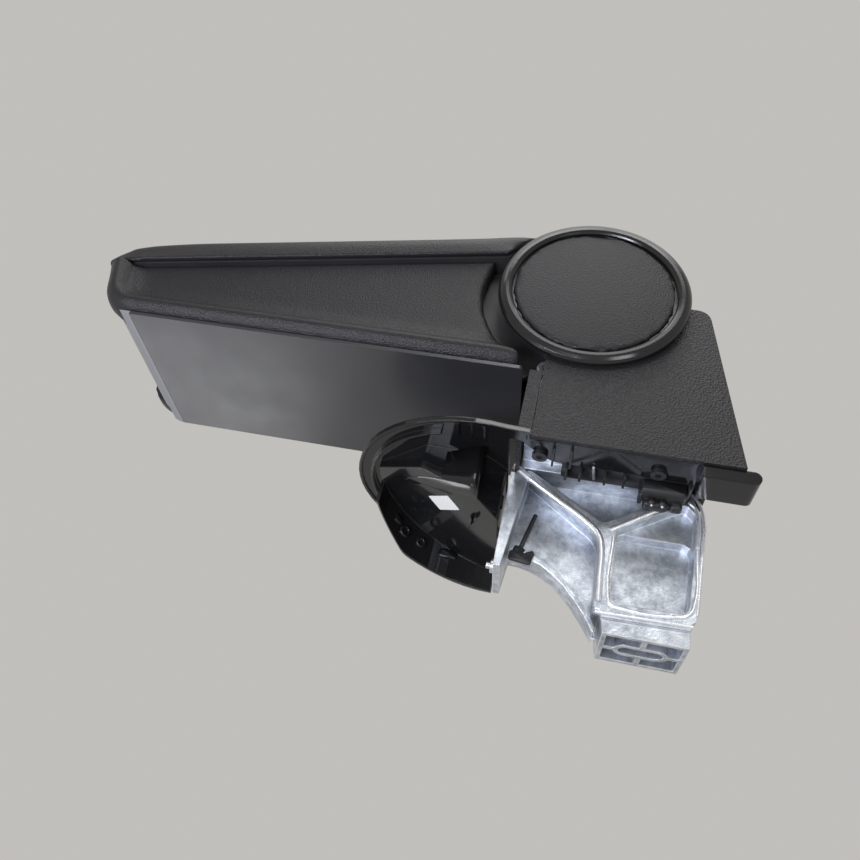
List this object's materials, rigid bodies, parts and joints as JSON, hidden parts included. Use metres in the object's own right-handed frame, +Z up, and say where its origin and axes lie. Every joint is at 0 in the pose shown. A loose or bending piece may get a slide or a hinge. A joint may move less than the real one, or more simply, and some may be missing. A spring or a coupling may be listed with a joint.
{
  "type": "car centre armrest",
  "caption": "Folding padded car armrest with a lidded storage bin, hinged on a moulded pillar whose ribbed cast bracket bolts to the floor.",
  "frame": {"origin": "centre of the flat underside of the bracket's foot, where the armrest is bolted down", "axes": "+Z up as fitted in the car, +X to the rear of the car, -X along the arm to its tip, -Y to the left side"},
  "size_m": [0.4247, 0.1325, 0.2655],
  "materials": {
    "cast_metal": "raw die-cast aluminium with a mottled skin",
    "base_plastic": "glossy black moulded plastic",
    "steel": "zinc-plated steel",
    "black_steel": "black oxide steel",
    "black_plastic": "matt black moulded plastic",
    "grained_plastic": "pebble-grained dark plastic",
    "gloss_black": "polished black plastic",
    "leatherette": "fine-grained black leatherette over foam",
    "buffer_rubber": "black rubber",
    "bin_plastic": "fine-grained black plastic",
    "mat_rubber": "ribbed black rubber",
    "bush_plastic": "natural nylon",
    "cover_plastic": "smooth satin dark grey plastic",
    "cap_plastic": "smooth satin grey plastic"
  },
  "bodies": {
    "base": {"cast_bracket": "cast_metal", "base_plate": "base_plastic", "base_screws": "black_steel", "rib_stud": "steel", "retaining_clip": "black_plastic", "guide_block": "black_plastic", "pillar_side_left": "grained_plastic", "pillar_side_right": "grained_plastic", "pillar_front_cover": "grained_plastic", "pillar_rear_cover": "grained_plastic", "pivot_axle": "steel", "axle_nut": "steel", "stop_pin": "steel", "stop_sleeve": "buffer_rubber", "disc_bezel_left": "gloss_black", "disc_bezel_right": "gloss_black", "disc_inlay_left": "leatherette", "disc_inlay_right": "leatherette"},
    "arm": {"storage_bin": "bin_plastic", "bin_mat": "mat_rubber", "bush_left": "bush_plastic", "bush_right": "bush_plastic", "hub_cover": "bin_plastic", "side_cover_left": "leatherette", "side_cover_right": "leatherette", "bottom_cover": "cover_plastic", "front_cap": "cap_plastic", "keeper_plate": "steel"},
    "lid": {"lid_base": "bin_plastic", "lid_pad": "leatherette", "lid_buffers": "buffer_rubber", "latch_spring": "steel"},
    "latch": {"latch_slider": "black_plastic"}
  },
  "joints": [
    {"name": "arm_pivot", "type": "hinge", "parent": "base", "child": "arm", "pos_m": [-0.0535, 0, 0.2055], "axis": [0, 1, 0], "range_deg": [0, 90]},
    {"name": "lid_hinge", "type": "hinge", "parent": "arm", "child": "lid", "pos_m": [-0.0535, 0, 0.2055], "axis": [0, 1, 0], "range_deg": [0, 30]},
    {"name": "latch_slide", "type": "slide", "parent": "lid", "child": "latch", "axis": [0.982, 0, 0.1891], "range_m": [0, 0.003], "stiffness_N_per_m": 800, "springref_m": -0.002, "deforming": ["latch_spring"]}
  ]
}
